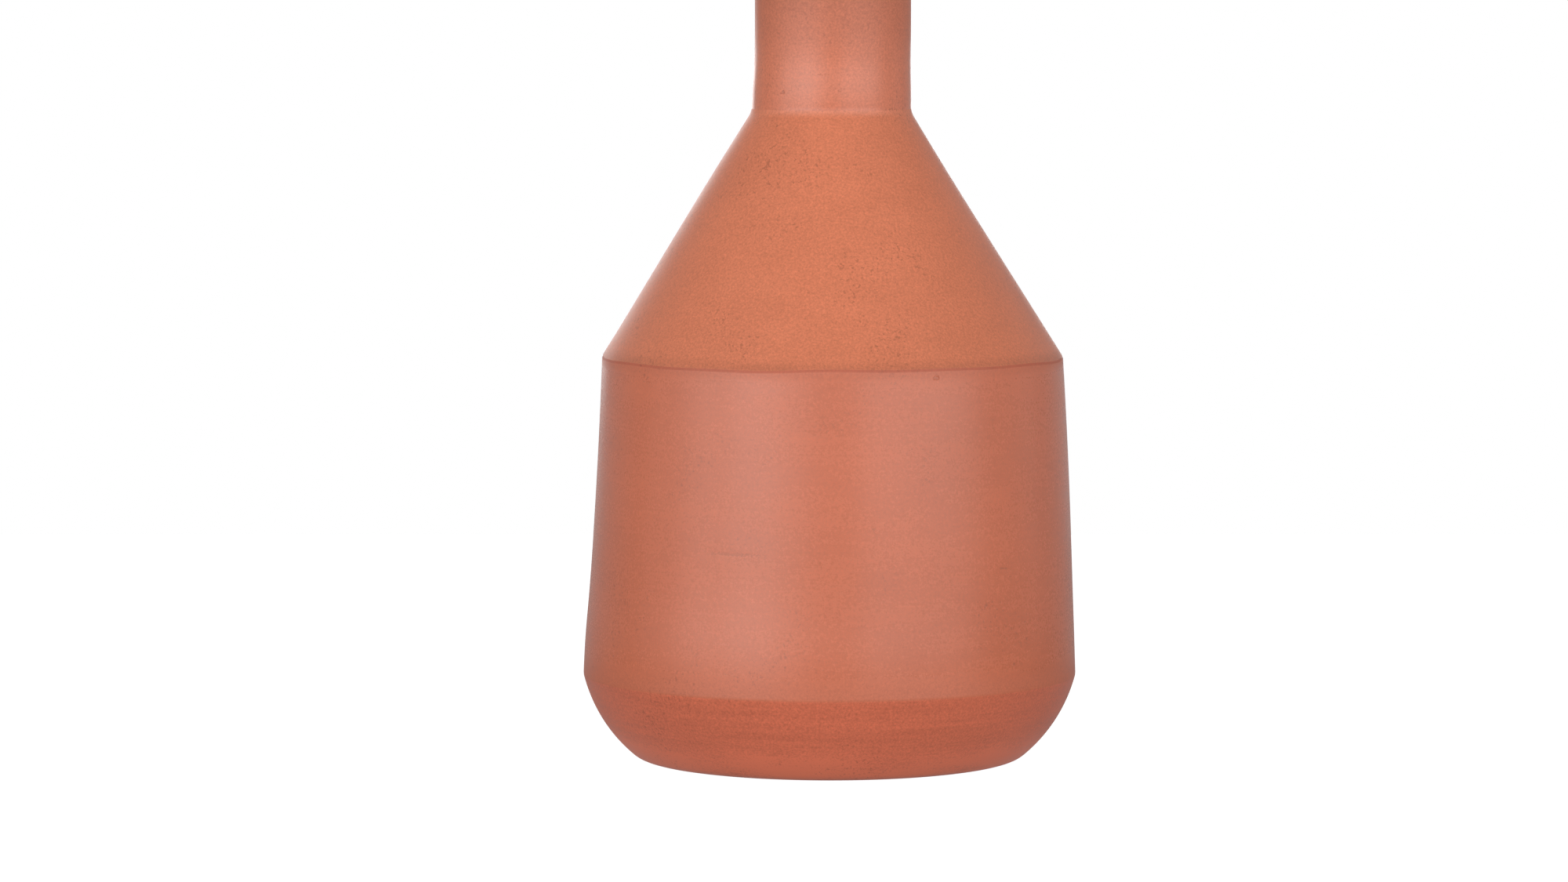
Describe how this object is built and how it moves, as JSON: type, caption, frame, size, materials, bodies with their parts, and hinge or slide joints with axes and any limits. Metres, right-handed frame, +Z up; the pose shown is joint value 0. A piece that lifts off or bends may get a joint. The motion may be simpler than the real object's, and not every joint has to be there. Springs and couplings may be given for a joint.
{
  "type": "amphora",
  "caption": "Handleless terracotta bottle vase with a conical shoulder and a straight narrow neck, built from thrown clay sections luted together.",
  "frame": {"origin": "centre of the circle that the foot ring rests on, on the vase's axis", "axes": "+Z up along the vase's axis of revolution, from the foot to the lip; +Y points away from the viewer"},
  "size_m": [0.1504, 0.1504, 0.28],
  "materials": {
    "neck_clay": "matt, lightly burnished",
    "shoulder_clay": "matt",
    "wall_clay": "satin, lightly burnished",
    "base_clay": "matt",
    "luting_clay": "matt, finger-smoothed"
  },
  "bodies": {
    "root": {"floor_disc": "base_clay", "base_wall": "base_clay", "body_wall": "wall_clay", "shoulder_cone": "shoulder_clay", "neck_tube": "neck_clay", "floor_lute": "luting_clay", "base_lute": "luting_clay", "shoulder_lute": "luting_clay", "neck_lute": "luting_clay"}
  },
  "joints": []
}
